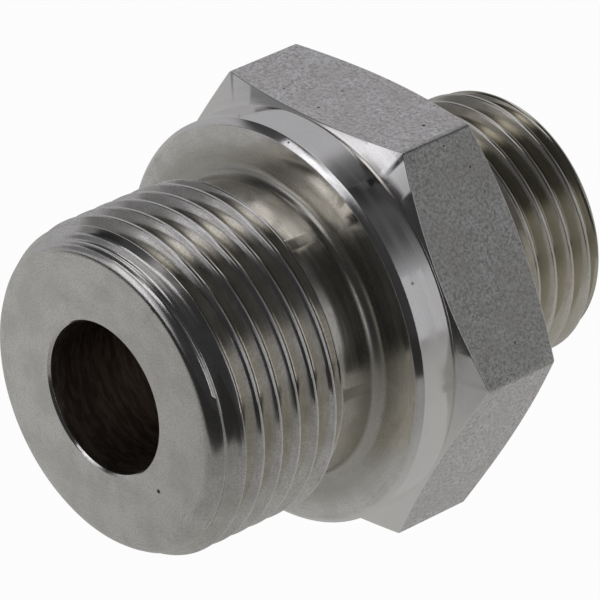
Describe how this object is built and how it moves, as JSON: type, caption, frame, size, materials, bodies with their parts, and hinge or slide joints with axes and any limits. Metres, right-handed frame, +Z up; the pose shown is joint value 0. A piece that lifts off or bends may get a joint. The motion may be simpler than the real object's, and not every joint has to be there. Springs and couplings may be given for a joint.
{
  "type": "male stud coupling",
  "caption": "Straight pipe fitting with a threaded stud, a flat sealing collar, a hexagon for a wrench, a smaller threaded tube socket and a bore right through.",
  "frame": {"origin": "on the bore's axis, in the plane of the collar's sealing face toward the stud", "axes": "+Y along the bore's axis from the stud to the tube end, +Z up through a hexagon flat, +X to the right of someone looking along +Y, through a hexagon corner"},
  "size_m": [0.0312, 0.035, 0.027],
  "materials": {
    "steel": "bare machined stainless steel, satin turning marks, duller drawn hexagon flats"
  },
  "bodies": {
    "root": {"coupling_body": "steel"}
  },
  "joints": []
}
